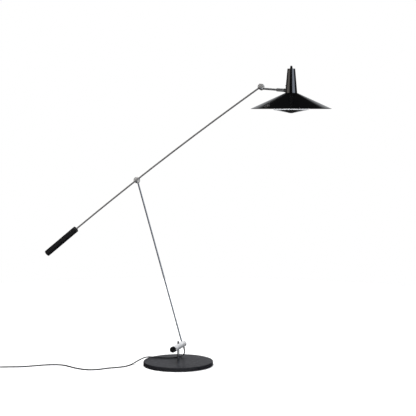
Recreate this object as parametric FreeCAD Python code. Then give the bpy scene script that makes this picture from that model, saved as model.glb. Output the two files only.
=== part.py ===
"""Adjustable arm floor lamp: a weighted disc base, a leaning stem, a counterweighted arm and a
disc shade.  Millimetres.  Origin at the centre of the base on the floor, +Z up, +X from the base
towards the shade, and the hinge axes of the stem, arm and elbow all along Y."""
import FreeCAD, Part
import math
import os
from FreeCAD import Placement, Rotation, Vector

os.makedirs("parts", exist_ok=True)

# ---- driving dimensions -------------------------------------------------------------------
base_d, base_h = 350.0, 21.0
barrel_d, barrel_z = 30.0, 93.0
rod_d, rod_wall = 8.0, 0.9
stem_y = 64.7
stem_length, stem_lean = 855.0, 16.2
arm_slope, arm_bow_r = 37.0, 17400.0
arm_reach = 800.0
weight_d, weight_top, weight_bottom = 32.0, -419.0, -631.0
knuckle_d, knuckle_t = 32.0, 12.0
bolt_drop, disc_lead = 7.5, 5.0
link_d, link_slope = 10.0, -4.4
sleeve_d, sleeve_from, sleeve_to = 16.0, 76.0, 113.0
head_x = 559.5
shade_d, shade_rim_z, shade_t = 392.0, 1282.5, 0.9
neck_bottom_r, neck_bottom_z = 29.5, 1359.0
neck_top_r, neck_top_z = 18.9, 1476.0
dish_r, dish_rim_z, dish_tip_z = 86.3, 1277.4, 1260.5
cord_d, coil_x, coil_y = 6.0, -915.0, -394.0

fit = 0.05          # running clearance of a pin in its bore
gap = 0.1           # between faces that slide past each other

# ---- frames of the leaning groups ---------------------------------------------------------
UP, Y_AXIS, ORIGIN = Vector(0, 0, 1), Vector(0, 1, 0), Vector(0, 0, 0)
rod_r, barrel_r, knuckle_r = rod_d / 2, barrel_d / 2, knuckle_d / 2
knuckle_front = -(rod_r - 0.8)               # the arm stands 0.8 proud of the knuckle's face
knuckle_back = knuckle_front + knuckle_t
washer_t, spring_t, eye_t = 1.1, 1.2, rod_d
eye_offset = knuckle_back + washer_t + gap + eye_t / 2
arm_y = stem_y - eye_offset


def turned_about_y(angle, x, y, z):
    """Frame whose X axis is raised by angle (degrees) in the XZ plane."""
    return Placement(Vector(x, y, z), Rotation(Y_AXIS, -angle))


stem_frame = Placement(Vector(0, stem_y, barrel_z), Rotation(Y_AXIS, -stem_lean))
mid_bolt = stem_frame.multVec(Vector(0, 0, stem_length))
arm_frame = turned_about_y(arm_slope, mid_bolt.x, arm_y, mid_bolt.z)
elbow_turn = math.degrees(arm_reach / arm_bow_r)


def on_arm(s, above=0.0):
    """Point of the bowed arm at arc length s from the mid bolt, in the arm's frame."""
    turn = s / arm_bow_r
    return Vector((arm_bow_r + above) * math.sin(turn), 0,
                  bolt_drop - arm_bow_r + (arm_bow_r + above) * math.cos(turn))


elbow_bolt = arm_frame.multVec(on_arm(arm_reach, -bolt_drop))
elbow_frame = turned_about_y(arm_slope - elbow_turn, elbow_bolt.x, arm_y, elbow_bolt.z)
link_frame = turned_about_y(link_slope, elbow_bolt.x, stem_y, elbow_bolt.z)
head_frame = Placement(Vector(head_x, stem_y, 0), Rotation())


# ---- small helpers ------------------------------------------------------------------------
def rod(radius, start, end):
    """Solid round bar between two points."""
    axis = end - start
    return Part.makeCylinder(radius, axis.Length, start, axis)


def ring(outer, inner, start, end):
    return rod(outer, start, end).cut(rod(inner, start, end))


def along_y(outer, y0, y1, inner=0.0, x=0.0, z=0.0):
    a, b = Vector(x, y0, z), Vector(x, y1, z)
    return ring(outer, inner, a, b) if inner else rod(outer, a, b)


def along_z(outer, z0, z1, inner=0.0, x=0.0, y=0.0):
    a, b = Vector(x, y, z0), Vector(x, y, z1)
    return ring(outer, inner, a, b) if inner else rod(outer, a, b)


def turned_profile(points):
    """Solid of revolution about Z of a closed (radius, height) outline."""
    corners = [Vector(r, 0, z) for r, z in points]
    return Part.Face(Part.makePolygon(corners + corners[:1])).revolve(ORIGIN, UP, 360)


def round_rims(shape, radius, where):
    """Fillet the circular edges whose centre passes the test."""
    rims = [e for e in shape.Edges if isinstance(e.Curve, Part.Circle) and where(e.Curve)]
    return shape.makeFillet(radius, rims)


def hexagon(across_flats, start, end):
    """Hexagonal prism between two points."""
    corner = across_flats / math.sqrt(3)
    corners = [Vector(corner * math.cos(math.radians(60 * k)), corner * math.sin(math.radians(60 * k)), 0)
               for k in range(7)]
    axis = end - start
    prism = Part.Face(Part.makePolygon(corners)).extrude(Vector(0, 0, axis.Length))
    return prism.transformed(Placement(start, Rotation(UP, axis)).toMatrix())


def put(shape, frame):
    return shape.transformed(frame.toMatrix())


def save(name, *solids):
    """One STEP file per node; several solids share a node only as a group of like pieces."""
    shape = solids[0] if len(solids) == 1 else Part.makeCompound(list(solids))
    if not shape.isValid():
        raise ValueError(name + " is not a valid shape")
    shape.exportStep("parts/" + name + ".step")


# ---- base: cast disc in a spun cover, on a soft pad --------------------------------------
base_r = base_d / 2
cover_t, skirt_bottom, pad_t = 1.8, 3.0, 2.0
cover_under = base_h - cover_t
post_r, post_thread_r, post_top_r = 6.0, 5.0, 4.5
recess_r, recess_top = 26.0, 11.0

cover = along_z(base_r, skirt_bottom, base_h).cut(along_z(base_r - cover_t, skirt_bottom, cover_under))
cover = round_rims(cover, 2.5, lambda c: abs(c.Center.z - base_h) < 0.01 and c.Radius > base_r - 1)
cover = cover.cut(along_z(base_r + 1, 10.4, 11.6, base_r - 0.7))
cover = cover.cut(along_z(post_thread_r, 0, base_h))
save("base_cover", cover)

weight = along_z(base_r - cover_t - 1.2, pad_t, cover_under, post_thread_r)
save("base_weight", weight.cut(along_z(recess_r, pad_t, recess_top)))
save("base_pad", along_z(base_r - 8, 0, pad_t))
save("base_washer", along_z(14.0, recess_top - 2.5, recess_top, post_thread_r))
nut_top = recess_top - 2.5
nut = hexagon(19.0, Vector(0, 0, skirt_bottom), Vector(0, 0, nut_top))
save("base_nut", nut.cut(along_z(post_thread_r, 0, nut_top)))

# ---- post, and the clamp screw on top of the barrel --------------------------------------
barrel_skin = along_y(barrel_r, -60, 60, z=barrel_z)
post_top = barrel_z - 6.5
post = along_z(post_r, base_h, barrel_z - barrel_r + 3).cut(barrel_skin)
post = post.fuse(along_z(post_thread_r, skirt_bottom, base_h)).fuse(along_z(post_top_r, 60, post_top))
save("post", post.removeSplitter())

knob_seat, screw_r = barrel_z + barrel_r + 0.4, 3.0
clamp_head = round_rims(along_z(5.0, knob_seat, knob_seat + 12), 0.8, lambda c: c.Center.z > knob_seat + 11)
clamp_flutes = [along_z(0.9, knob_seat + 1.5, knob_seat + 13, x=5.3 * math.cos(a), y=5.3 * math.sin(a))
                for a in [math.radians(30 * k) for k in range(12)]]
for flute in clamp_flutes:
    clamp_head = clamp_head.cut(flute)
save("clamp_screw", clamp_head.fuse(along_z(screw_r, barrel_z + 6.5, knob_seat)).removeSplitter())

# ---- barrel: the friction hinge of the stem, its axis along Y ----------------------------
tube_front, tube_back, tube_bore = -74.0, 53.0, 13.0
spindle_r, spindle_front, spindle_back = 5.0, -84.0, 87.0
collar_half, disc_t = 10.25, 1.3
collar_front, collar_back = tube_back + disc_t + gap, tube_back + disc_t + gap + 2 * collar_half
cap_front, cap_back = collar_back + gap + disc_t, spindle_back + 5.0
relief_lean, relief_r = 30.0, 4.4
relief_frame = Placement(Vector(0, 82.0, 82.0), Rotation(Vector(1, 0, 0), 180 + relief_lean))

post_hole = along_z(post_top_r, 60, 90)
screw_hole = along_z(screw_r, 95, 112)
tube = along_y(barrel_r, tube_front, tube_back, tube_bore, z=barrel_z)
save("barrel_tube", tube.cut(post_hole).cut(screw_hole))
core = along_y(tube_bore, -16, 16, spindle_r, z=barrel_z)
save("barrel_core", core.cut(post_hole).cut(screw_hole))
save("barrel_bush", along_y(tube_bore, tube_front, tube_front + 8, spindle_r, z=barrel_z))
save("spindle", along_y(spindle_r, spindle_front, spindle_back, z=barrel_z))

spring_pitch, spring_y = 2.6, 34.0
springs = []
for k in range(6):
    dish = 0.8 if k % 2 else -0.8
    y = spring_y + k * spring_pitch
    outer = Part.makeCone(12.0 - dish, 12.0 + dish, 1.6, Vector(0, y, barrel_z), Y_AXIS)
    springs.append(outer.cut(along_y(spindle_r + 0.4, y - 1, y + 3, z=barrel_z)))
save("tension_springs", *springs)
save("thrust_washer", along_y(12.4, tube_back - 2.2, tube_back - 0.2, spindle_r, z=barrel_z))
save("tilt_friction_discs",
     along_y(14.6, tube_back, tube_back + disc_t, spindle_r, z=barrel_z),
     along_y(14.6, collar_back + gap, cap_front, spindle_r, z=barrel_z))

cap = along_y(barrel_r, cap_front, cap_back, z=barrel_z)
cap = round_rims(cap, 5.0, lambda c: abs(c.Center.y - cap_back) < 0.01)
relief_root = put(along_z(relief_r, 0, 8), relief_frame)
save("rear_cap", cap.cut(along_y(spindle_r, 60, spindle_back, z=barrel_z)).cut(relief_root))

knob_front, knob_back = tube_front - 15.0, tube_front - 0.3
knob = along_y(barrel_r, knob_front, knob_back, z=barrel_z)
knob = round_rims(knob, 3.5, lambda c: abs(c.Center.y - knob_front) < 0.01)
insert_r, insert_front = 8.0, spindle_front - 0.9
knob = knob.cut(along_y(insert_r, insert_front, knob_back, z=barrel_z))
save("tension_knob", knob)
save("knob_insert", along_y(insert_r, insert_front, knob_back, spindle_r + fit, z=barrel_z))

# ---- stem: collar, tube and top eye ------------------------------------------------------
socket_depth, grub_r = 7.5, 2.0
collar = along_y(barrel_r, collar_front, collar_back, spindle_r + fit, z=barrel_z)
collar = collar.cut(put(along_z(rod_r, socket_depth, 20), stem_frame))
collar = collar.cut(put(along_z(grub_r, -20, -6), stem_frame))
save("tilt_collar", collar)
grub = along_z(grub_r, -14.4, -6).cut(hexagon(2.0, Vector(0, 0, -15), Vector(0, 0, -12)))
save("collar_grub", put(grub, stem_frame))


def eye(bore_r, spigot_r, spigot_to):
    """Flat round end with a spigot for the tube, its bolt hole along Y at the origin."""
    plate = along_y(9.0, -eye_t / 2, eye_t / 2)
    plate = round_rims(plate, 0.6, lambda c: c.Radius > 8)
    body = plate.fuse(along_z(spigot_r, -spigot_to, -4)).removeSplitter()
    return body.cut(along_y(bore_r, -6, 6))


bolt_r = 2.5
stem_eye = eye(bolt_r + fit, rod_r - rod_wall, 22.0)
stem_top = Placement(Vector(0, 0, stem_length), Rotation())
save("stem_eye", put(put(stem_eye, stem_top), stem_frame))
stem_tube = along_z(rod_r, socket_depth, stem_length - 7, rod_r - rod_wall)
stem_tube = stem_tube.cut(along_y(9.0, -6, 6, z=stem_length))
save("stem_tube", put(stem_tube, stem_frame))


# ---- arm: bowed tube, counterweight, and the same knuckle at the middle and the elbow -----
def arm_bar(radius, s0, s1):
    """Round bar that follows the arm's bow from s0 to s1, in the arm's frame."""
    start, centre = on_arm(s0), Vector(0, 0, bolt_drop - arm_bow_r)
    section = Part.Face(Part.Wire(Part.makeCircle(radius, start, Y_AXIS.cross(start - centre))))
    return section.revolve(centre, Y_AXIS, math.degrees((s1 - s0) / arm_bow_r))


arm_tip, arm_tail = arm_reach + 9.0, -560.0
arm_solid = arm_bar(rod_r, arm_tail, arm_tip)
save("arm_tube", put(arm_solid.cut(arm_bar(rod_r - rod_wall, arm_tail - 1, arm_tip + 1)), arm_frame))

weight_mid = (weight_top + weight_bottom) / 2
weight_frame = Placement(on_arm(weight_mid), Rotation(Y_AXIS, math.degrees(weight_mid / arm_bow_r)))
half_weight = (weight_top - weight_bottom) / 2
weight_r = weight_d / 2
bar = put(rod(weight_r, Vector(-half_weight, 0, 0), Vector(half_weight, 0, 0)), weight_frame)
bar = bar.makeFillet(0.8, [e for e in bar.Edges if isinstance(e.Curve, Part.Circle)])
grub_s = half_weight - 24


def weight_pin(z0, z1):
    """Round bar across the weight at its grub screw, between two depths below its axis."""
    return put(rod(grub_r, Vector(grub_s, 0, z0), Vector(grub_s, 0, z1)), weight_frame)


save("counterweight", put(bar.cut(arm_solid).cut(weight_pin(-20, -rod_r)), arm_frame))
weight_grub = weight_pin(-weight_r + 0.8, -rod_r - 0.7)


def knuckle_parts(prefix, frame, bore_end):
    """Saves the chrome disc clamped on the arm and its pivot bolt, and returns the small pieces that
    share nodes.  The frame's origin is on the bolt's axis in the arm's plane, X along the arm, and the
    arm's bore ends at bore_end."""
    disc = along_y(knuckle_r, knuckle_front, knuckle_back, x=disc_lead, z=bolt_drop)
    disc = round_rims(disc, 2.6, lambda c: abs(c.Center.y - knuckle_front) < 0.01)
    disc = round_rims(disc, 1.0, lambda c: abs(c.Center.y - knuckle_back) < 0.01)
    screw_top = bolt_drop + knuckle_r - 0.7
    grub_hole = along_z(1.5, bolt_drop, bolt_drop + 20, x=disc_lead)
    arm_bore = rod(rod_r + 0.02, Vector(-30, 0, bolt_drop), Vector(bore_end, 0, bolt_drop))
    half_slot = 2.35
    slot = Part.makeBox(30 + bore_end, rod_d, 2 * half_slot, Vector(-30, -rod_d, bolt_drop - half_slot))
    disc = disc.cut(along_y(bolt_r, -10, 20)).cut(grub_hole).cut(arm_bore).cut(slot)
    save(prefix + "_knuckle", put(disc, frame))
    screw = along_z(1.5, bolt_drop + rod_r + 0.05, screw_top, x=disc_lead)

    head_r, head_h = 6.5, 3.4
    head_seat = -rod_r - gap                          # the head stands on a shoulder, clear of the arm
    ball = (head_r ** 2 + head_h ** 2) / (2 * head_h)
    dome = Part.makeSphere(ball, Vector(0, head_seat - head_h + ball, 0))
    dome = dome.common(along_y(head_r, head_seat - head_h, head_seat))
    dome = dome.cut(hexagon(3.0, Vector(0, head_seat - head_h - 1, 0), Vector(0, head_seat - 1.4, 0)))
    dome = dome.fuse(along_y(3.2, head_seat - 0.2, knuckle_front))
    nut_front = eye_offset + eye_t / 2 + gap + spring_t
    bolt = dome.fuse(along_y(bolt_r, knuckle_front - 1, nut_front + 5)).removeSplitter()
    save(prefix + "_bolt", put(bolt, frame))
    washer = along_y(7.5, knuckle_back, knuckle_back + washer_t, bolt_r)
    spring = along_y(6.5, nut_front - spring_t, nut_front, bolt_r)
    nut = hexagon(9.0, Vector(0, nut_front, 0), Vector(0, nut_front + 4, 0))
    cap_ball = Part.makeSphere(4.2, Vector(0, nut_front + 4, 0)).common(
        along_y(4.2, nut_front + 3.8, nut_front + 9))
    nut = nut.fuse(cap_ball).removeSplitter().cut(along_y(bolt_r, nut_front - 1, nut_front + 5))
    return [put(piece, frame) for piece in (washer, spring, nut, screw)]


mid_pieces = knuckle_parts("mid", arm_frame, 40.0)
elbow_pieces = knuckle_parts("elbow", elbow_frame, arm_tip - arm_reach + 0.05)
for name, pair in zip(("pivot_washers", "pivot_springs", "pivot_cap_nuts"), zip(mid_pieces, elbow_pieces)):
    save(name, *pair)
save("arm_grubs", mid_pieces[-1], elbow_pieces[-1], put(weight_grub, arm_frame))

# ---- link: eye and rod from the elbow to the head ----------------------------------------
link_r, link_bore = link_d / 2, 3.2
sideways = Placement(ORIGIN, Rotation(Y_AXIS, -90))       # turns -Z to +X, so the spigot points on
save("link_eye", put(put(eye(bolt_r + fit, link_bore, 20.0), sideways), link_frame))
flange_x, rod_end = sleeve_to - 11.0, sleeve_to - 8.0
link_rod = rod(link_r, Vector(7, 0, 0), Vector(rod_end, 0, 0)).fuse(
    rod(6.0, Vector(flange_x, 0, 0), Vector(rod_end, 0, 0))).removeSplitter()
link_rod = link_rod.cut(along_y(9.0, -6, 6)).cut(rod(link_bore, ORIGIN, Vector(rod_end, 0, 0)))
save("link_rod", put(link_rod, link_frame))

# ---- head: swivel sleeve, neck, shade, lamp, and the glare dish under it ------------------
neck_t = 1.2
neck_taper = (neck_bottom_r - neck_top_r) / (neck_top_z - neck_bottom_z)


def neck_r(z):
    return neck_bottom_r - neck_taper * (z - neck_bottom_z)


def neck_cone(shrink, z0, z1):
    """Solid cone that follows the neck's outside, shrink inside it, about the head's axis."""
    return Part.makeCone(neck_r(z0) - shrink, neck_r(z1) - shrink, z1 - z0, Vector(0, 0, z0), UP)


sleeve = rod(sleeve_d / 2, Vector(sleeve_from, 0, 0), Vector(sleeve_to, 0, 0))
sleeve = round_rims(sleeve, 0.8, lambda c: True)
sleeve = sleeve.cut(rod(link_r + fit, Vector(sleeve_from, 0, 0), Vector(sleeve_to, 0, 0)))
sleeve = sleeve.cut(rod(6.3, Vector(flange_x - gap, 0, 0), Vector(sleeve_to, 0, 0)))
save("swivel_sleeve", put(sleeve, link_frame))

neck_solid = put(neck_cone(0, neck_bottom_z, neck_top_z), head_frame)
neck_inside = put(neck_cone(neck_t, neck_bottom_z, neck_top_z), head_frame)
stud_from, stud_tip = rod_end + gap, sleeve_to + 14.0
stud_in_link = rod(6.3, Vector(stud_from, 0, 0), Vector(sleeve_to, 0, 0)).fuse(
    rod(4.0, Vector(sleeve_to, 0, 0), Vector(stud_tip, 0, 0))).removeSplitter()
save("swivel_stud", put(stud_in_link, link_frame))
stud_hole = put(rod(4.0, Vector(sleeve_to - 5, 0, 0), Vector(stud_tip + 10, 0, 0)), link_frame)
boss = put(rod(9.0, Vector(sleeve_to, 0, 0), Vector(stud_tip, 0, 0)), link_frame)
save("neck_boss", boss.cut(neck_solid).cut(stud_hole))

plate_t, plate_z0, plate_z1 = 2.0, 1362.5, 1402.0
screw_z, bracket_screw_r = 1394.0, 2.0
screw_hole_x = rod(bracket_screw_r, Vector(head_x - 40, stem_y, screw_z),
                   Vector(head_x - 15, stem_y, screw_z))
plate = neck_cone(neck_t, plate_z0, plate_z1).cut(neck_cone(neck_t + plate_t, plate_z0, plate_z1))
plate = put(plate.common(Part.makeBox(40, 26, 60, Vector(-40, -13, plate_z0))), head_frame)
save("neck_bracket", plate.cut(stud_hole).cut(screw_hole_x))
neck_side = head_x - neck_r(screw_z)


def screw_line(radius, x0, x1):
    """Round bar along the bracket screw's axis, between two distances from the neck's outside."""
    return rod(radius, Vector(neck_side + x0, stem_y, screw_z), Vector(neck_side + x1, stem_y, screw_z))


button = Part.makeCone(2.6, 3.6, 5.0, Vector(neck_side - 2.2, stem_y, screw_z), Vector(1, 0, 0))
button = button.fuse(screw_line(3.6, 1, 2.8)).removeSplitter().cut(neck_solid)
save("bracket_screw", button.fuse(screw_line(bracket_screw_r, -0.8, 7.5)).removeSplitter())
inner_face = head_x - neck_r(link_frame.multVec(Vector(stud_tip, 0, 0)).z) + neck_t + plate_t
nut_x = (inner_face - link_frame.Base.x) / math.cos(math.radians(link_slope)) + 0.9
nuts = [put(hexagon(11.0, Vector(nut_x, 0, 0), Vector(nut_x + 5, 0, 0)), link_frame).cut(stud_hole)]
screw_nut_x = neck_side + neck_t + plate_t + 0.6
nuts.append(hexagon(7.0, Vector(screw_nut_x, stem_y, screw_z), Vector(screw_nut_x + 3, stem_y, screw_z))
            .cut(screw_hole_x))
save("bracket_nuts", *nuts)

switch_bush_r = 4.5
neck = neck_cone(0, neck_bottom_z, neck_top_z)
neck = round_rims(neck, 1.5, lambda c: abs(c.Center.z - neck_top_z) < 0.01)
neck = neck.cut(neck_cone(neck_t, neck_bottom_z, neck_top_z - neck_t))
neck = put(neck.cut(along_z(switch_bush_r, 1400, 1500)), head_frame)
save("neck", neck.cut(stud_hole).cut(screw_hole_x))

shade_r = shade_d / 2
shade_slope = (neck_bottom_z - shade_rim_z) / (shade_r - neck_bottom_r)
drop_t = shade_t * math.sqrt(1 + shade_slope ** 2)       # wall thickness measured upright


def shade_under(r):
    """Height of the shade's inner face at radius r."""
    return neck_bottom_z - drop_t - shade_slope * (r - neck_bottom_r)


lip_r, hem_r = neck_bottom_r - 3.0, 1.3
shade_end = shade_r - hem_r
cone = turned_profile([(lip_r, neck_bottom_z), (neck_bottom_r, neck_bottom_z),
                       (shade_end, shade_under(shade_end) + drop_t), (shade_end, shade_under(shade_end)),
                       (neck_bottom_r, neck_bottom_z - drop_t), (lip_r, neck_bottom_z - drop_t)])
hem = Part.makeTorus(shade_end, hem_r, Vector(0, 0, shade_under(shade_end) + drop_t / 2), UP)
save("shade", put(cone.fuse(hem).removeSplitter(), head_frame))
save("shade_ring", put(along_z(lip_r, 1353.5, 1360.5, lip_r - 2.2), head_frame))

holder_plate_z, holder_bottom, cap_r = 1434.0, 1378.0, 13.2
holder = along_z(18.5, holder_bottom, holder_plate_z - 8).fuse(
    along_z(10.0, holder_plate_z - 8, holder_plate_z)).removeSplitter()
save("lampholder", put(holder.cut(along_z(cap_r + 0.3, holder_bottom, 1410)), head_frame))
holder_plate_r = neck_r(holder_plate_z + 2) - neck_t - 0.2
save("holder_plate", put(along_z(holder_plate_r, holder_plate_z, holder_plate_z + 2, 5.0), head_frame))
cap_z, cap_top, cap_wall = 1374.0, 1400.0, 0.5
cap_shell = along_z(cap_r, cap_z, cap_top).cut(along_z(cap_r - cap_wall, cap_z, cap_top - 1.5))
save("lamp_cap", put(cap_shell.fuse(along_z(5.0, cap_top, cap_top + 4)).removeSplitter(), head_frame))

globe_r, globe_z, globe_wall, throat_r = 22.5, 1345.0, 1.0, cap_r - cap_wall


def globe_shape(shrink):
    """The lamp's glass outside, or its inside shrink below that: ball, throat, and neck in the cap."""
    ball = Part.makeSphere(globe_r - shrink, Vector(0, 0, globe_z))
    throat = Part.makeCone(20.5 - shrink, throat_r - 0.3 - shrink, 15, Vector(0, 0, 1359), UP)
    return ball.fuse(throat).fuse(along_z(throat_r - shrink, cap_z, cap_z + 5)).removeSplitter()


save("lamp_globe", put(globe_shape(0).cut(globe_shape(globe_wall)), head_frame))

switch_top = neck_top_z - neck_t
shaft_r = 3.0
switch_body = along_z(11.0, switch_top - 26, switch_top).fuse(
    along_z(switch_bush_r, switch_top, neck_top_z)).removeSplitter()
save("switch_body", put(switch_body.cut(along_z(shaft_r + fit, switch_top - 12, neck_top_z)), head_frame))
knob_z0, knob_z1, knob_r0, knob_r1 = neck_top_z + 0.4, neck_top_z + 14.0, 6.6, 4.4
switch_knob = Part.makeCone(knob_r0, knob_r1, knob_z1 - knob_z0, Vector(0, 0, knob_z0), UP)
switch_knob = round_rims(switch_knob, 1.0, lambda c: abs(c.Center.z - knob_z1) < 0.01)
save("switch_knob", put(switch_knob.cut(along_z(shaft_r, 1470, knob_z1 - 4)), head_frame))
save("switch_shaft", put(along_z(shaft_r, switch_top - 11.5, knob_z1 - 4), head_frame))

# glare dish: shallow cone hung on three rods, carrying the opal ring
dish_t, ring_t, ring_top, rod_circle, hanger_r = 1.2, 2.0, 1297.0, 60.0, 1.5
dish_inner_r = dish_r - 5.0
dish_slope = (dish_rim_z - 1.2 - dish_tip_z) / dish_inner_r
tip_r = 7.0
dish = turned_profile([(0, dish_tip_z), (tip_r, dish_tip_z + 0.45 * dish_slope * tip_r),
                       (dish_inner_r, dish_rim_z - dish_t), (dish_r, dish_rim_z - dish_t),
                       (dish_r, dish_rim_z), (dish_inner_r, dish_rim_z),
                       (tip_r, dish_tip_z + 0.45 * dish_slope * tip_r + dish_t), (0, dish_tip_z + dish_t)])
save("glare_dish", put(dish, head_frame))
save("opal_ring", put(along_z(dish_r - 2.0, dish_rim_z, ring_top, dish_r - 2.0 - ring_t), head_frame))
angles = [math.radians(90 + 120 * k) for k in range(3)]
hangers, hanger_nuts = [], []
inside_h = shade_slope * (shade_r - 1.0)
shade_inside = Part.makeCone(shade_r, 1.0, inside_h, Vector(0, 0, shade_under(shade_r)), UP)
for a in angles:
    x, y = rod_circle * math.cos(a), rod_circle * math.sin(a)
    seat = dish_tip_z + dish_slope * rod_circle + 2.6
    hanger = along_z(hanger_r, seat - 1, 1360, x=x, y=y).common(shade_inside).cut(dish)
    hangers.append(put(hanger, head_frame))
    low_nut = hexagon(5.5, Vector(x, y, seat), Vector(x, y, seat + 2.4))
    top = shade_under(rod_circle + 4) - 0.6
    high_nut = hexagon(5.5, Vector(x, y, top - 2.4), Vector(x, y, top))
    hanger_hole = along_z(hanger_r, 1200, 1400, x=x, y=y)
    hanger_nuts += [put(n.cut(hanger_hole), head_frame) for n in (low_nut, high_nut)]
save("dish_hangers", *hangers)
save("hanger_nuts", *hanger_nuts)

# ---- mains cord: strain relief, free lead, put-away coil with its tie, and plug -----------
cord_r = cord_d / 2
relief_skin, relief_tip = 6.5, 27.0
relief = along_z(relief_r, 0, relief_skin).fuse(
    Part.makeCone(relief_r, cord_r + 0.5, relief_tip - relief_skin, Vector(0, 0, relief_skin), UP))
save("cord_relief", put(relief.removeSplitter(), relief_frame))

top_z, floor_z, coil_z = base_h + cord_r + 0.2, cord_r + 0.1, 1.2
coil_mid, layer = 33.0, cord_d
cord_route = [
    tuple(relief_frame.multVec(Vector(0, 0, relief_tip))),
    tuple(relief_frame.multVec(Vector(0, 0, relief_tip + 10.5))), (-2.4, 102.8, 40.8),
    (-6.8, 101.6, 33.4), (-12.5, 98, 27.6), (-18.7, 92.2, top_z + 0.3), (-25.5, 83.5, top_z),
    (-34, 68.5, top_z), (-46, 53, top_z), (-64, 42, top_z), (-89, 36, top_z), (-117, 36.5, top_z),
    (-143, 34.5, top_z + 0.4), (-163, 25, 26.5), (-183, 8, 26.0), (-201, -19, 17.5), (-214, -49, 8.5),
    (-223, -83, floor_z), (-231, -122, floor_z), (-256, -158, floor_z), (-299, -189, floor_z),
    (-334, -236, floor_z), (-377, -262, floor_z), (-432, -251, floor_z), (-487, -223, floor_z),
    (-535, -193, floor_z), (-582, -192, floor_z), (-632, -216, floor_z), (-680, -259, floor_z),
    (-727, -296, floor_z), (-779, -313, floor_z), (-828, -333, floor_z), (-872, -350, floor_z + 0.6),
    (coil_x, coil_y + 39, coil_z + cord_r)]


def rounded_path(points):
    """Straight runs joined by tangent arcs, each as large as its two runs allow."""
    p = [Vector(*q) for q in points]
    edges, radii, start = [], [], p[0]
    for a, b, c in zip(p, p[1:], p[2:]):
        into, out = (b - a), (c - b)
        shorter = min(into.Length, out.Length)
        into.normalize()
        out.normalize()
        turn = into.getAngle(out)
        cut = 0.45 * shorter
        radius = cut / math.tan(turn / 2)
        first, last = b - into * cut, b + out * cut
        half = (out - into)
        half.normalize()
        middle = b + half * (radius / math.cos(turn / 2) - radius)
        edges += [Part.LineSegment(start, first).toShape(), Part.Arc(first, middle, last).toShape()]
        radii.append(radius)
        start = last
    edges.append(Part.LineSegment(start, p[-1]).toShape())
    return Part.Wire(edges), radii


def cord_tube(points):
    path, radii = rounded_path(points)
    first = Vector(*points[1]) - Vector(*points[0])
    section = Part.Wire(Part.makeCircle(cord_r, Vector(*points[0]), first))
    tube = path.makePipeShell([section], True, False)
    print("cord run: length %.1f, volume ratio %.4f, radii" % (
        path.Length, tube.Volume / (math.pi * cord_r ** 2 * path.Length)), [round(r) for r in radii])
    return tube


coil_out, coil_in = coil_mid + 1.5 * layer + 0.4, coil_mid - 1.5 * layer - 0.4
coil_top = coil_z + 2 * layer + 0.4
coil = along_z(coil_out, coil_z, coil_top, coil_in, x=coil_x, y=coil_y)
save("cord_coil", coil)
save("mains_cord", cord_tube(cord_route).cut(coil))
plug_x, plug_z = coil_x - 46, 7.0
tail_y = coil_y + 39
tail = cord_tube([(coil_x + 2, tail_y, coil_z + 1.5 * layer), (coil_x - 20, tail_y - 0.5, plug_z),
                  (plug_x, tail_y - 0.5, plug_z)])
save("cord_tail", tail.cut(coil))

tie_t, tie_w = 1.2, 9.0
tie = Part.makeBox(coil_out - coil_in + 2 * tie_t, tie_w, coil_top + tie_t,
                   Vector(coil_x + coil_in - tie_t, coil_y - tie_w / 2, 0))
save("cord_tie", tie.cut(along_z(coil_out, coil_z, coil_top, coil_in, x=coil_x, y=coil_y)))

plug_y = tail_y - 0.5
body = Part.makeBox(27, 26, 14, Vector(plug_x - 12 - 27, plug_y - 13, 0))
body = body.makeFillet(4.0, [e for e in body.Edges if abs(e.tangentAt(e.FirstParameter).x) > 0.9])
boot = Part.makeCone(3.9, 6.2, 12.5, Vector(plug_x, plug_y, plug_z), Vector(-1, 0, 0))
save("plug_body", body.fuse(boot).removeSplitter())
pins = [rod(2.0, Vector(plug_x - 39, plug_y + side, plug_z), Vector(plug_x - 58, plug_y + side, plug_z))
        for side in (-9.3, 9.3)]
save("plug_pins", *[p.makeFillet(1.2, [e for e in p.Edges if isinstance(e.Curve, Part.Circle)
                                       and e.Curve.Center.x < plug_x - 50]) for p in pins])

print("mid bolt", mid_bolt, "elbow bolt", elbow_bolt, "arm y", round(arm_y, 2))
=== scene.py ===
import math

import bmesh
import bpy
from mathutils import Matrix, Vector


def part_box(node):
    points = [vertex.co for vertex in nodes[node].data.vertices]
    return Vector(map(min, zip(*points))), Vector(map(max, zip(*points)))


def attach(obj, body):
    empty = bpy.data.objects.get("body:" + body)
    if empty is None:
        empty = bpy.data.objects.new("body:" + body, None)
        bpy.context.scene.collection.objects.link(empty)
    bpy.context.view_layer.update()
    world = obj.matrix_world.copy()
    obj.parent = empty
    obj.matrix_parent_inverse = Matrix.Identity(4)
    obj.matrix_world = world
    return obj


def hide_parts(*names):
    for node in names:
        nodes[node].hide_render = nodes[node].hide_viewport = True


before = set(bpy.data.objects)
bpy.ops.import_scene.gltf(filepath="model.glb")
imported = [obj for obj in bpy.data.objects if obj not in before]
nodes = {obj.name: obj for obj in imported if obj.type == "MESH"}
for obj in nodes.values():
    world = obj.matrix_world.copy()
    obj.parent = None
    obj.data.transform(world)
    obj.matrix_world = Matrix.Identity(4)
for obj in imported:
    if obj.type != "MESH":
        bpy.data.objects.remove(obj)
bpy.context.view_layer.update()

# ---- The view ------------------------------------------------------------------------------
# A long lens stands six metres off on the knob side of the base, a little above the shade's rim,
# and looks slightly down, so that both the weight and the shade are well inside the picture.
view_from = Vector((2.0091, -5.7764, 1.2720))
view_turn, view_dip = math.radians(17.78), math.radians(4.503)
camera_data = bpy.data.cameras.new("view")
camera_data.lens, camera_data.sensor_width = 106.73, 36.0
camera_data.clip_start, camera_data.clip_end = 0.1, 200.0
camera = bpy.data.objects.new("view", camera_data)
camera.location = view_from
camera.rotation_euler = (math.pi / 2 - view_dip, 0.0, view_turn)
bpy.context.scene.collection.objects.link(camera)
bpy.context.scene.camera = camera

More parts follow.
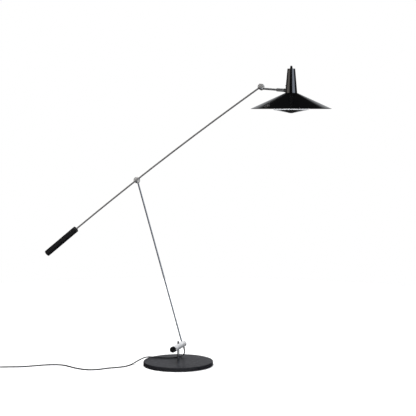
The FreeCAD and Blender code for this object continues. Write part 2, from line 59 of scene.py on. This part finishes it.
# ---- Mains lead ----------------------------------------------------------------------------
# Six-millimetre round flexible lead in a matt black sheath.  It leaves the back of the hinge barrel,
# drops on to the base, runs over its edge to the floor, and its spare length is wound up and tied.
lead_d = 0.006
on_base, on_floor = 0.0242, 0.0031
lead_route = [
    (0.0, 0.0955, 0.058617), (0.0, 0.10075, 0.049524), (-0.0024, 0.1028, 0.0408),
    (-0.0068, 0.1016, 0.0334), (-0.0125, 0.098, 0.0276), (-0.0187, 0.0922, 0.0245),
    (-0.0255, 0.0835, on_base), (-0.034, 0.0685, on_base), (-0.046, 0.053, on_base),
    (-0.064, 0.042, on_base), (-0.089, 0.036, on_base), (-0.117, 0.0365, on_base),
    (-0.143, 0.0345, 0.0246), (-0.163, 0.025, 0.0265), (-0.183, 0.008, 0.026),
    (-0.201, -0.019, 0.0175), (-0.214, -0.049, 0.0085), (-0.223, -0.083, on_floor),
    (-0.231, -0.122, on_floor), (-0.256, -0.158, on_floor), (-0.299, -0.189, on_floor),
    (-0.334, -0.236, on_floor), (-0.377, -0.262, on_floor), (-0.432, -0.251, on_floor),
    (-0.487, -0.223, on_floor), (-0.535, -0.193, on_floor), (-0.582, -0.192, on_floor),
    (-0.632, -0.216, on_floor), (-0.68, -0.259, on_floor), (-0.727, -0.296, on_floor),
    (-0.779, -0.313, on_floor), (-0.828, -0.333, on_floor), (-0.872, -0.35, 0.0037)]

coil_x, coil_y, coil_floor = -0.915, -0.394, 0.0042
outer_turn, turn_count, steps_round = 0.039, 5, 24
tail_route = [(-0.935, -0.3555, 0.007), (-0.948, -0.3555, 0.007), (-0.961, -0.3555, 0.007)]


def ease(t, start, end):
    """0 before start, 1 after end, and smooth between them."""
    u = min(max((t - start) / (end - start), 0.0), 1.0)
    return u * u * (3 - 2 * u)


def coil_point(t):
    """Three turns side by side, working inwards, then two and a bit on top of them, working out."""
    inwards = ease(t, 0.75, 1.0) + ease(t, 1.75, 2.0)
    outwards = ease(t, 3.45, 3.7) + ease(t, 4.45, 4.7)
    spline_pull = 0.75 + 0.25 * math.cos(2 * math.pi / steps_round)
    radius = (outer_turn + lead_d * (outwards - inwards)) / spline_pull
    angle = math.pi / 2 + 2 * math.pi * t
    height = coil_floor + lead_d * ease(t, 2.35, 2.7)
    return (coil_x + radius * math.cos(angle), coil_y + radius * math.sin(angle), height)


coil_route = [coil_point(k / steps_round) for k in range(turn_count * steps_round + 1)]


def finish(name, colour, roughness, metallic=0.0, grain=600.0, uneven=0.06, bump=0.05, depth=0.0002,
           shade_spread=0.15, stretch=(1, 1, 1), **sockets):
    """A worked surface: its colour, its gloss and its relief all vary a little with fine grain.
    grain is in lumps per metre, depth in metres, and stretch draws the grain out along an axis."""
    material = bpy.data.materials.new(name)
    material.use_nodes = True
    tree = material.node_tree
    shader = tree.nodes["Principled BSDF"]
    place = tree.nodes.new("ShaderNodeTexCoord")
    drawn = tree.nodes.new("ShaderNodeMapping")
    drawn.inputs["Scale"].default_value = stretch
    tree.links.new(place.outputs["Object"], drawn.inputs["Vector"])
    fine = tree.nodes.new("ShaderNodeTexNoise")
    fine.inputs["Scale"].default_value = grain
    fine.inputs["Detail"].default_value = 4.0
    broad = tree.nodes.new("ShaderNodeTexNoise")
    broad.inputs["Scale"].default_value = grain / 25
    broad.inputs["Detail"].default_value = 3.0
    tree.links.new(drawn.outputs["Vector"], fine.inputs["Vector"])
    tree.links.new(drawn.outputs["Vector"], broad.inputs["Vector"])
    gloss = tree.nodes.new("ShaderNodeMapRange")
    gloss.inputs["From Min"].default_value, gloss.inputs["From Max"].default_value = 0.3, 0.7
    gloss.inputs["To Min"].default_value = max(roughness - uneven, 0.02)
    gloss.inputs["To Max"].default_value = min(roughness + uneven, 1.0)
    tree.links.new(broad.outputs["Fac"], gloss.inputs["Value"])
    tree.links.new(gloss.outputs["Result"], shader.inputs["Roughness"])
    tint = tree.nodes.new("ShaderNodeMix")
    tint.data_type = "RGBA"
    tint.inputs["A"].default_value = (*[c * (1 - shade_spread) for c in colour], 1)
    tint.inputs["B"].default_value = (*[min(c * (1 + shade_spread), 1) for c in colour], 1)
    tree.links.new(broad.outputs["Fac"], tint.inputs["Factor"])
    tree.links.new(tint.outputs["Result"], shader.inputs["Base Color"])
    relief = tree.nodes.new("ShaderNodeBump")
    relief.inputs["Strength"].default_value, relief.inputs["Distance"].default_value = bump, depth
    tree.links.new(fine.outputs["Fac"], relief.inputs["Height"])
    tree.links.new(relief.outputs["Normal"], shader.inputs["Normal"])
    shader.inputs["Metallic"].default_value = metallic
    for socket, value in sockets.items():
        shader.inputs[socket.replace("_", " ")].default_value = value
    return material


black_sheath = finish("black_sheath", (0.010, 0.010, 0.011), 0.55, grain=1800.0, bump=0.15,
                      Specular_IOR_Level=0.3)

lead_curve = bpy.data.curves.new("mains_lead", "CURVE")
lead_curve.dimensions = "3D"
lead_curve.bevel_depth, lead_curve.bevel_resolution = lead_d / 2, 5
lead_curve.resolution_u, lead_curve.use_fill_caps = 6, True
lead_line = lead_curve.splines.new("NURBS")
lead_points = lead_route + coil_route + tail_route
lead_line.points.add(len(lead_points) - 1)
for point, place in zip(lead_line.points, lead_points):
    point.co = (*place, 1.0)
lead_line.order_u = 3
lead_line.use_endpoint_u = True
lead = bpy.data.objects.new("mains_lead", lead_curve)
bpy.context.scene.collection.objects.link(lead)
lead_curve.materials.append(black_sheath)
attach(lead, "root")
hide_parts("mains_cord", "cord_coil", "cord_tail")

# ---- Strain relief -------------------------------------------------------------------------
# Moulded boot of soft black rubber where the lead leaves the barrel's end cap.  It tapers, and five
# grooves let it bend before the lead does.  Its root is pressed into the cap.
soft_rubber = finish("soft_rubber", (0.018, 0.018, 0.019), 0.62, grain=2400.0, bump=0.2)


def turned(name, outline, steps=96, closed=True, flutes=0, flute_depth=0.0, fluted=()):
    """A mesh turned on a lathe: an outline of (radius, height) carried round the height axis.
    Points whose number is in fluted are pressed in by flute_depth between the flutes' crests."""
    shape = bmesh.new()
    rings = []
    for index, (radius, height) in enumerate(outline):
        ring = []
        for k in range(steps if radius > 1e-7 else 1):
            angle = 2 * math.pi * k / steps
            press = flute_depth * (0.5 - 0.5 * math.cos(flutes * angle)) if index in fluted else 0.0
            reach = radius - press
            ring.append(shape.verts.new((reach * math.cos(angle), reach * math.sin(angle), height)))
        rings.append(ring)
    pairs = list(zip(rings, rings[1:]))
    if closed and min(len(rings[0]), len(rings[-1])) > 1:
        pairs.append((rings[-1], rings[0]))
    for lower, upper in pairs:
        for k in range(steps):
            corners = [lower[k % len(lower)], lower[(k + 1) % len(lower)],
                       upper[(k + 1) % len(upper)], upper[k % len(upper)]]
            corners = list(dict.fromkeys(corners))
            if len(corners) > 2:
                shape.faces.new(corners)
    bmesh.ops.recalc_face_normals(shape, faces=shape.faces)
    mesh = bpy.data.meshes.new(name)
    shape.to_mesh(mesh)
    shape.free()
    return mesh


def fit_piece(name, mesh, material, body, replaced, place=Matrix(), crease=35):
    """Puts a finished mesh on the lamp: smooth but for its creases, in its place, on its body."""
    mesh.shade_smooth()
    mesh.set_sharp_from_angle(angle=math.radians(crease))
    for layer in material if isinstance(material, list) else [material]:
        mesh.materials.append(layer)
    piece = bpy.data.objects.new(name, mesh)
    bpy.context.scene.collection.objects.link(piece)
    piece.matrix_world = place
    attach(piece, body)
    if replaced:
        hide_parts(*replaced)
    return piece


relief_root, relief_lean = Vector((0.0, 0.082, 0.082)), math.radians(210)
relief_place = Matrix.Translation(relief_root) @ Matrix.Rotation(relief_lean, 4, "X")
relief_wide, relief_slim, relief_skin, relief_end = 0.0044, 0.0035, 0.0065, 0.027
groove_from, groove_pitch, groove_width, groove_depth = 0.0105, 0.0032, 0.0012, 0.0007


def relief_radius(z):
    """Outside radius of the boot, which tapers beyond the end cap's skin."""
    part_way = max(z - relief_skin, 0.0) / (relief_end - relief_skin)
    return relief_wide + (relief_slim - relief_wide) * part_way


relief_line = [(0.0, 0.0), (relief_wide, 0.0), (relief_wide, relief_skin + 0.001)]
for k in range(5):
    z = groove_from + k * groove_pitch
    relief_line += [(relief_radius(z), z), (relief_radius(z) - groove_depth, z + 0.0002),
                    (relief_radius(z) - groove_depth, z + groove_width - 0.0002),
                    (relief_radius(z), z + groove_width)]
relief_line += [(relief_slim, relief_end - 0.0004), (relief_slim - 0.0004, relief_end), (0.0, relief_end)]
relief = fit_piece("lead_relief", turned("lead_relief", relief_line, 48), soft_rubber, "root",
                   ["cord_relief"], relief_place)

# ---- Plug ----------------------------------------------------------------------------------
# Flat two-pin plug moulded on to the lead in one shot: a boot that tapers to the lead, finger
# grooves on both sides, and brass pins sheathed for half their length.
plug_low, plug_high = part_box("plug_body")
pins_low, pins_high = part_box("plug_pins")
plug_y, plug_z = (plug_low.y + plug_high.y) / 2, (pins_low.z + pins_high.z) / 2
plug_front, plug_back = plug_low.x, plug_high.x
half_wide, half_high = (plug_high.y - plug_low.y) / 2, plug_z - plug_low.z
plug_steps = 48


def plug_ring(shape, x, wide, high, square):
    """One rounded-off section of the plug; square is 2 for an ellipse and more for a fuller shape."""
    ring = []
    for k in range(plug_steps):
        angle = 2 * math.pi * k / plug_steps
        across, up = math.cos(angle), math.sin(angle)
        sideways = wide * math.copysign(abs(across) ** (2 / square), across)
        upwards = high * math.copysign(abs(up) ** (2 / square), up)
        ring.append(shape.verts.new((x, plug_y + sideways, plug_z + upwards)))
    return ring


plug_shape = bmesh.new()
plug_length = plug_back - plug_front
# Each section: its place along the plug, its width and its height as parts of the full size, and
# how square it is.
sections = [(0.0, 0.86, 0.86, 5), (0.012, 0.93, 0.93, 5), (0.06, 0.96, 0.97, 5), (0.10, 1.0, 1.0, 5),
            (0.22, 1.0, 1.0, 4.6), (0.25, 0.97, 0.98, 4.6), (0.28, 0.97, 0.98, 4.4),
            (0.31, 0.99, 1.0, 4.2), (0.34, 0.96, 0.98, 4.2), (0.37, 0.96, 0.97, 4.0),
            (0.40, 0.97, 0.99, 3.8), (0.43, 0.93, 0.96, 3.6), (0.48, 0.90, 0.94, 3.2),
            (0.58, 0.78, 0.90, 2.8), (0.66, 0.60, 0.86, 2.4), (0.70, 0.48, 0.84, 2.1),
            (0.74, 0.45, 0.80, 2.0), (0.76, 0.40, 0.74, 2.0), (0.80, 0.40, 0.74, 2.0),
            (0.82, 0.42, 0.76, 2.0), (0.85, 0.36, 0.66, 2.0), (0.88, 0.36, 0.66, 2.0),
            (0.90, 0.38, 0.68, 2.0), (0.93, 0.31, 0.57, 2.0), (1.0, 0.29, 0.54, 2.0)]
plug_rings = [plug_ring(plug_shape, plug_front + t * plug_length, wide * half_wide,
                        high * half_high, square)
              for t, wide, high, square in sections]
for near, far in zip(plug_rings, plug_rings[1:]):
    for k in range(plug_steps):
        after = (k + 1) % plug_steps
        plug_shape.faces.new([near[k], near[after], far[after], far[k]])
plug_shape.faces.new(plug_rings[0])
plug_shape.faces.new(plug_rings[-1])
bmesh.ops.recalc_face_normals(plug_shape, faces=plug_shape.faces)
plug_mesh = bpy.data.meshes.new("plug_moulding")
plug_shape.to_mesh(plug_mesh)
plug = fit_piece("plug_moulding", plug_mesh, soft_rubber, "root", ["plug_body"])

brass = finish("brass", (0.72, 0.50, 0.22), 0.28, metallic=1.0, grain=900.0)
pin_r, pin_length = 0.002, pins_high.x - pins_low.x
sheath_length = 0.009
pin_line = [(0.0, -0.001), (pin_r, -0.001), (pin_r, sheath_length), (pin_r - 0.0002, sheath_length),
            (pin_r - 0.0002, pin_length - 0.0012), (pin_r - 0.0006, pin_length - 0.0004),
            (pin_r - 0.0012, pin_length), (0.0, pin_length)]
for side, pin_y in (("left", pins_low.y + pin_r), ("right", pins_high.y - pin_r)):
    pin_mesh = turned("plug_pin_" + side, pin_line, 32)
    for face in pin_mesh.polygons:
        face.material_index = 0 if face.center.z < sheath_length else 1
    lie_down = Matrix.Translation((pins_high.x, pin_y, plug_z)) @ Matrix.Rotation(-math.pi / 2, 4, "Y")
    fit_piece("plug_pin_" + side, pin_mesh, [soft_rubber, brass], "root",
                                ["plug_pins"], lie_down)

# ---- Coil tie ------------------------------------------------------------------------------
# Woven hook-and-loop strap, nine millimetres wide, pulled once round the wound lead and pressed
# back on itself, so that its free end stands a little proud on the outside.
tie_low, tie_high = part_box("cord_tie")
tie_mid_x, tie_mid_z = (tie_low.x + tie_high.x) / 2, (tie_low.z + tie_high.z) / 2
tie_half_x, tie_half_z = (tie_high.x - tie_low.x) / 2, (tie_high.z - tie_low.z) / 2
strap_t, strap_corner, strap_steps = 0.0011, 0.0042, 10


def strap_loop(inset):
    """Rounded rectangle of the strap's path, as points in the plane across the wound lead."""
    points = []
    for corner, (sx, sz) in enumerate(((1, 1), (-1, 1), (-1, -1), (1, -1))):
        radius = strap_corner - inset
        for k in range(strap_steps + 1):
            angle = math.pi / 2 * (corner + k / strap_steps)
            points.append((tie_mid_x + sx * (tie_half_x - strap_corner) + radius * math.cos(angle),
                           tie_mid_z + sz * (tie_half_z - strap_corner) + radius * math.sin(angle)))
    return points


strap = bmesh.new()
edges_y = [tie_low.y, tie_low.y + 0.0004, tie_high.y - 0.0004, tie_high.y]
outside, inside = strap_loop(0.0), strap_loop(strap_t)
skin = [[strap.verts.new((x, y, z)) for x, z in outline]
        for outline, y in ((strap_loop(0.0003), edges_y[0]), (outside, edges_y[1]), (outside, edges_y[2]),
                           (strap_loop(0.0003), edges_y[3]), (inside, edges_y[3]), (inside, edges_y[0]))]
for near, far in zip(skin, skin[1:] + skin[:1]):
    for k in range(len(near)):
        after = (k + 1) % len(near)
        strap.faces.new([near[k], near[after], far[after], far[k]])
bmesh.ops.recalc_face_normals(strap, faces=strap.faces)
strap_mesh = bpy.data.meshes.new("coil_strap")
strap.to_mesh(strap_mesh)
woven = finish("woven_strap", (0.03, 0.03, 0.032), 0.85, grain=3200.0, bump=0.6, stretch=(1, 0.35, 1),
               Sheen_Weight=0.2)
tie = fit_piece("coil_strap", strap_mesh, woven, "root", ["cord_tie"], crease=50)

# ---- Base ----------------------------------------------------------------------------------
# A cast iron disc with a hole for the post, hidden under a spun steel cover in charcoal textured
# lacquer.  One fine groove runs round the rim, and a thin rubber pad is glued underneath.
cover_low, cover_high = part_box("base_cover")
base_r, base_top, skirt = cover_high.x, cover_high.z, cover_low.z
edge_round, cover_wall, post_hole = 0.0025, 0.0018, 0.005
groove_low, groove_high, groove_in = 0.0104, 0.0116, 0.0007


def bend(centre_r, centre_z, radius, start, end, steps=8):
    """Points along an arc of an outline, its angles in degrees from outwards to upwards."""
    angles = [math.radians(start + (end - start) * k / steps) for k in range(steps + 1)]
    return [(centre_r + radius * math.cos(a), centre_z + radius * math.sin(a)) for a in angles]


cover_line = [(post_hole, base_top - cover_wall), (post_hole, base_top)]
cover_line += [(radius, base_top) for radius in (0.030, 0.090, 0.140)]
cover_line += bend(base_r - edge_round, base_top - edge_round, edge_round, 90, 0, 10)
cover_line += [(base_r, groove_high + 0.0002), (base_r - 0.0002, groove_high),
               (base_r - groove_in, groove_high - 0.0002), (base_r - groove_in, groove_low + 0.0002),
               (base_r - 0.0002, groove_low), (base_r, groove_low - 0.0002), (base_r, skirt + 0.0006),
               (base_r - 0.0006, skirt), (base_r - cover_wall, skirt),
               (base_r - cover_wall, base_top - cover_wall)]
charcoal = finish("charcoal_lacquer", (0.015, 0.015, 0.018), 0.42, grain=1500.0, uneven=0.05, bump=0.25,
                  depth=0.0002, shade_spread=0.12, Specular_IOR_Level=0.2)
fit_piece("base_shell", turned("base_shell", cover_line, 256), charcoal, "root",
          ["base_cover"])

sand_cast = finish("sand_cast_iron", (0.09, 0.088, 0.085), 0.75, metallic=0.6, grain=500.0, bump=0.6,
                   depth=0.0006)
pad_rubber = finish("pad_rubber", (0.03, 0.03, 0.03), 0.9, grain=2600.0, bump=0.5)


def coat(material, *names):
    """Gives CAD pieces their real finish."""
    for name in names:
        for slot in nodes[name].material_slots:
            slot.material = material


coat(sand_cast, "base_weight")
coat(pad_rubber, "base_pad")

zinc = finish("bright_zinc", (0.58, 0.59, 0.60), 0.32, metallic=1.0, grain=700.0, uneven=0.08, bump=0.08)
coat(zinc, "base_washer", "base_nut")

# ---- Post and clamp screw ------------------------------------------------------------------
# A short round steel post, polished and chrome plated, screwed through the base.  The knurled screw
# on top of the barrel locks the barrel to it.
chrome = finish("polished_chrome", (0.44, 0.445, 0.455), 0.09, metallic=1.0, grain=500.0, uneven=0.035,
                bump=0.03, depth=0.0001, shade_spread=0.05)
coat(chrome, "post")
grey_zinc = finish("grey_zinc", (0.30, 0.30, 0.31), 0.38, metallic=1.0, grain=900.0, bump=0.1)
coat(grey_zinc, "clamp_screw")

# ---- Hinge barrel --------------------------------------------------------------------------
# Nickel-plated steel tube, brushed round its length, with the spindle, disc springs and friction
# discs of the stem's hinge inside.  The end cap turns no more than the tube does.
nickel = finish("brushed_nickel", (0.95, 0.95, 0.96), 0.36, metallic=0.5, grain=260.0, uneven=0.08,
                bump=0.12, depth=0.00008, shade_spread=0.06, stretch=(1, 14, 1))
coat(nickel, "barrel_tube", "rear_cap", "tilt_collar")
coat(brass, "barrel_core", "barrel_bush", "knob_insert", "lamp_cap")
coat(zinc, "spindle", "tension_springs", "thrust_washer", "collar_grub")
fibre = finish("pressed_fibre", (0.20, 0.11, 0.055), 0.8, grain=1400.0, bump=0.3, shade_spread=0.3)
coat(fibre, "tilt_friction_discs", "pivot_washers")

# ---- Tension knob --------------------------------------------------------------------------
# Black phenolic moulding with fine grip flutes round its edge and a shallow domed face.  A brass
# insert screws on the spindle and squeezes the springs.
knob_low, knob_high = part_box("tension_knob")
knob_r, knob_long = knob_high.x, knob_high.y - knob_low.y
insert_r, insert_deep = 0.008, knob_high.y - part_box("knob_insert")[0].y
phenolic = finish("black_phenolic", (0.004, 0.004, 0.0045), 0.26, grain=900.0, uneven=0.05, bump=0.06,
                  Specular_IOR_Level=0.15)
knob_line = [(insert_r, 0.0), (knob_r - 0.0006, 0.0), (knob_r, 0.0006), (knob_r, 0.003), (knob_r, 0.006),
             (knob_r, knob_long - 0.0036)]
knob_line += bend(knob_r - 0.0034, knob_long - 0.0036, 0.0034, 20, 78, 5)
knob_line += [(0.0096, knob_long - 0.0001), (0.0090, knob_long - 0.0005), (0.0086, knob_long - 0.0005),
              (0.0080, knob_long - 0.0001), (0.0040, knob_long), (0.0, knob_long),
              (0.0, insert_deep), (insert_r, insert_deep)]
knob_seat = Vector(((knob_low.x + knob_high.x) / 2, knob_high.y, (knob_low.z + knob_high.z) / 2))
knob_place = Matrix.Translation(knob_seat) @ Matrix.Rotation(math.pi / 2, 4, "X")
knob_mesh = turned("tension_grip", knob_line, 192, closed=False, flutes=36, flute_depth=0.0005,
                   fluted=(2, 3, 4, 5, 6))
fit_piece("tension_grip", knob_mesh, phenolic, "tension_knob", ["tension_knob"],
          knob_place)

# ---- Stem, arm and link --------------------------------------------------------------------
# Thin steel tubes, drawn, polished and chrome plated.  Flat eyes are brazed into the stem's top and
# the link's end, and turn on bolts through the two satin knuckle discs clamped on the arm.
coat(chrome, "stem_tube", "stem_eye", "arm_tube", "mid_bolt", "elbow_bolt", "pivot_cap_nuts")
satin_chrome = finish("satin_chrome", (0.78, 0.77, 0.76), 0.34, metallic=0.65, grain=500.0, uneven=0.05,
                      bump=0.05, depth=0.0001, shade_spread=0.05)
coat(satin_chrome, "mid_knuckle", "elbow_knuckle")
coat(chrome, "link_eye", "link_rod")
coat(zinc, "pivot_springs", "arm_grubs")

# ---- Counterweight -------------------------------------------------------------------------
# A plain steel bar, turned all over and bored for the arm, in satin black.  A fine grain shows a
# little through the paint, and a grub screw holds it where it balances the shade.
satin_black = finish("satin_black", (0.007, 0.007, 0.008), 0.34, grain=500.0, uneven=0.06, bump=0.12,
                     depth=0.0001, Specular_IOR_Level=0.2)
coat(satin_black, "counterweight")

# ---- Swivel sleeve and neck fixings --------------------------------------------------------
# Chrome sleeve that turns on the link's flange, and the painted boss that seats it on the neck.  A
# bracket inside the neck takes the stud's nut and one black screw.
coat(chrome, "swivel_sleeve")
gloss_black = finish("gloss_black", (0.0015, 0.0015, 0.0018), 0.12, grain=260.0, uneven=0.03, bump=0.01,
                     depth=0.0001, Specular_IOR_Level=1.0, Coat_Weight=0.8, Coat_Roughness=0.08,
                     Coat_IOR=1.8)
coat(gloss_black, "neck_boss", "neck", "bracket_screw", "glare_dish")
coat(zinc, "swivel_stud", "neck_bracket", "bracket_nuts", "shade_ring", "holder_plate", "dish_hangers",
     "hanger_nuts", "switch_shaft")

# ---- Shade ---------------------------------------------------------------------------------
# Wide shallow cone spun from aluminium sheet, its edge rolled into a bead.  It is stoved gloss black
# outside and matt white inside.
shade_low, shade_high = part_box("shade")
shade_x, shade_y = (shade_low.x + shade_high.x) / 2, (shade_low.y + shade_high.y) / 2
shade_r, shade_top = (shade_high.x - shade_low.x) / 2, shade_high.z
bead_r, sheet_t, lip_r, neck_r = 0.0013, 0.0009, 0.0265, 0.0295
bead_z = shade_low.z + bead_r
bead_mid = shade_r - bead_r
fall = (shade_top - sheet_t / 2 - bead_z) / (bead_mid - neck_r)
drop = sheet_t * math.sqrt(1 + fall * fall)


def shade_line_z(radius, above):
    """Height of the sheet at a radius, at its middle or a part of its thickness above it."""
    return bead_z + fall * (bead_mid - radius) + above * drop


outer_radii = [neck_r, 0.035, 0.05, 0.075, 0.1, 0.125, 0.15, 0.175, bead_mid - 0.0006]
outer_line = [(lip_r, shade_top), (neck_r - 0.0004, shade_top)]
outer_line += [(r, shade_line_z(r, 0.5)) for r in outer_radii]
bead_line = bend(bead_mid, bead_z, bead_r, 60, -150, 12)
inner_line = [(r, shade_line_z(r, -0.5)) for r in reversed(outer_radii)]
inner_line += [(lip_r, shade_line_z(neck_r, -0.5))]
shade_mesh = turned("lamp_shade", outer_line + bead_line + inner_line, 256)
stoved_black = finish("stoved_black", (0.0015, 0.0015, 0.0018), 0.10, grain=300.0, uneven=0.02, bump=0.01,
                      depth=0.0001, Specular_IOR_Level=0.4)
white_stoved = finish("white_stoved", (0.82, 0.82, 0.80), 0.55, grain=700.0, bump=0.06, shade_spread=0.02)
for face in shade_mesh.polygons:
    across = math.hypot(face.center.x, face.center.y)
    face.material_index = 1 if face.normal.z < -0.3 and across < bead_mid - bead_r else 0
shade_place = Matrix.Translation((shade_x, shade_y, 0))
fit_piece("lamp_shade", shade_mesh, [stoved_black, white_stoved], "head", ["shade"],
          shade_place)

# ---- Lamp and holder -----------------------------------------------------------------------
# White moulded screw lampholder on a steel plate inside the neck, with a small frosted golf-ball
# lamp that stands in the shade's throat.
moulded_white = finish("moulded_white", (0.80, 0.79, 0.75), 0.4, grain=500.0, bump=0.05,
                       shade_spread=0.03)
coat(moulded_white, "lampholder")
frosted = finish("frosted_glass", (0.90, 0.90, 0.88), 0.5, grain=900.0, bump=0.05, shade_spread=0.02,
                 Subsurface_Weight=0.3, Subsurface_Radius=(0.01, 0.01, 0.01))
coat(frosted, "lamp_globe")

# ---- Opal ring and glare dish --------------------------------------------------------------
# A band of opal acrylic stands on the rim of a shallow spun dish, black below.  Three rods hang
# both from the shade, and the light leaves through the band and over its top.
# The band's faint bluish emission is a painted glow: the lamp is not lit, and the acrylic is given light
# of its own.
opal_painted_glow = finish("opal_acrylic_painted_glow", (0.86, 0.87, 0.90), 0.5, grain=500.0, bump=0.03, shade_spread=0.02,
              Emission_Color=(0.80, 0.84, 0.90, 1), Emission_Strength=0.22)
coat(opal_painted_glow, "opal_ring")

# ---- Switch --------------------------------------------------------------------------------
# Rotary switch inside the neck's top, turned by a small tapered phenolic knob.
coat(phenolic, "switch_body", "switch_knob")

# ---- Floor and light -----------------------------------------------------------------------
# Round pale floor in a white room.  A broad cool window stands to the right and a weak warm one to
# the left, a pale sheet hangs behind, and the floor glows low in front.  The overhead light is left
# out of sharp reflections, and the floor out of all of them, so thin bright tubes keep dark edges.
floor_r, floor_t, floor_gap = 3.2, 0.0004, 0.0002
pale_floor = finish("pale_floor", (0.90, 0.90, 0.90), 0.8, grain=60.0, bump=0.02, shade_spread=0.01)
floor_mesh = turned("floor", [(0.0, -floor_t), (floor_r, -floor_t), (floor_r, 0.0), (0.0, 0.0)], 128,
                    closed=False)
floor_mesh.transform(Matrix.Translation((0, 0, -floor_gap)))
floor_mesh.materials.append(pale_floor)
floor = bpy.data.objects.new("floor", floor_mesh)
floor.visible_glossy = False
bpy.context.scene.collection.objects.link(floor)

toward_view = Vector((math.sin(view_turn), -math.cos(view_turn), 0))
to_right = Vector((math.cos(view_turn), math.sin(view_turn), 0))

world = bpy.data.worlds.new("studio")
bpy.context.scene.world = world
world.use_nodes = True
sky = world.node_tree
ways = sky.nodes.new("ShaderNodeTexCoord")
split = sky.nodes.new("ShaderNodeSeparateXYZ")
sky.links.new(ways.outputs["Generated"], split.inputs["Vector"])


def along(direction):
    """How far a way into the room points in a direction, from -1 to 1."""
    dot = sky.nodes.new("ShaderNodeVectorMath")
    dot.operation = "DOT_PRODUCT"
    dot.inputs[1].default_value = direction
    sky.links.new(ways.outputs["Generated"], dot.inputs[0])
    return dot.outputs["Value"]


def fade(value, dark_at, bright_at):
    """Smooth step from 0 at dark_at to 1 at bright_at."""
    step = sky.nodes.new("ShaderNodeMapRange")
    step.interpolation_type = "SMOOTHSTEP"
    step.inputs["From Min"].default_value, step.inputs["From Max"].default_value = dark_at, bright_at
    sky.links.new(value, step.inputs["Value"])
    return step.outputs["Result"]


def combine(operation, a, b):
    join = sky.nodes.new("ShaderNodeMath")
    join.operation = operation
    for socket, value in zip(join.inputs, (a, b)):
        if isinstance(value, float):
            socket.default_value = value
        else:
            sky.links.new(value, socket)
    return join.outputs["Value"]


def window(turn, half_wide, low, high, brightness, colour, soft=5.0):
    """Upright bright panel, turned to the right of the viewer, from low to high degrees of height."""
    a = math.radians(turn)
    facing = toward_view * math.cos(a) + to_right * math.sin(a)
    beside = Vector((-facing.y, facing.x, 0))
    off_middle = combine("ABSOLUTE", combine("ARCTAN2", along(beside), along(facing)), 0.0)
    wide = fade(off_middle, math.radians(half_wide + soft), math.radians(half_wide - soft))
    height = split.outputs["Z"]
    up = fade(height, math.sin(math.radians(low - soft)), math.sin(math.radians(low + soft)))
    down = fade(height, math.sin(math.radians(high + soft)), math.sin(math.radians(high - soft)))
    return glow(combine("MULTIPLY", combine("MULTIPLY", wide, up), down), brightness, colour)


def glow(amount, brightness, colour):
    scaled = sky.nodes.new("ShaderNodeVectorMath")
    scaled.operation = "SCALE"
    scaled.inputs[0].default_value = [c * brightness for c in colour]
    sky.links.new(amount, scaled.inputs["Scale"])
    return scaled.outputs["Vector"]


overhead = fade(split.outputs["Z"], math.cos(math.radians(30)), math.cos(math.radians(20)))
rays = sky.nodes.new("ShaderNodeLightPath")
unmirrored = combine("SUBTRACT", 1.0, rays.outputs["Is Glossy Ray"])
everywhere = fade(split.outputs["Z"], -2.0, -1.5)
lights = [
    window(48, 28, 4, 36, 1.4, (0.78, 0.86, 1.0)),
    window(-68, 28, 4, 34, 0.55, (1.0, 0.92, 0.85)),
    window(172, 24, -14, 25, 0.55, (0.95, 0.97, 1.0), soft=6.0),
    window(0, 52, -30, -8, 0.85, (1.0, 1.0, 1.0)),
    glow(overhead, 0.6, (1, 1, 1)),
    glow(combine("MULTIPLY", overhead, unmirrored), 7.6, (1, 1, 1)),
    glow(everywhere, 0.015, (1, 1, 1))]
total = lights[0]
for light in lights[1:]:
    add = sky.nodes.new("ShaderNodeVectorMath")
    add.operation = "ADD"
    sky.links.new(total, add.inputs[0])
    sky.links.new(light, add.inputs[1])
    total = add.outputs["Vector"]
room = sky.nodes.new("ShaderNodeBackground")
sky.links.new(total, room.inputs["Color"])
backdrop = sky.nodes["Background"]
backdrop.inputs["Color"].default_value = (1, 1, 1, 1)
choose = sky.nodes.new("ShaderNodeMixShader")
sky.links.new(rays.outputs["Is Camera Ray"], choose.inputs["Fac"])
sky.links.new(room.outputs["Background"], choose.inputs[1])
sky.links.new(backdrop.outputs["Background"], choose.inputs[2])
sky.links.new(choose.outputs["Shader"], sky.nodes["World Output"].inputs["Surface"])
bpy.context.scene.view_settings.view_transform = "Standard"
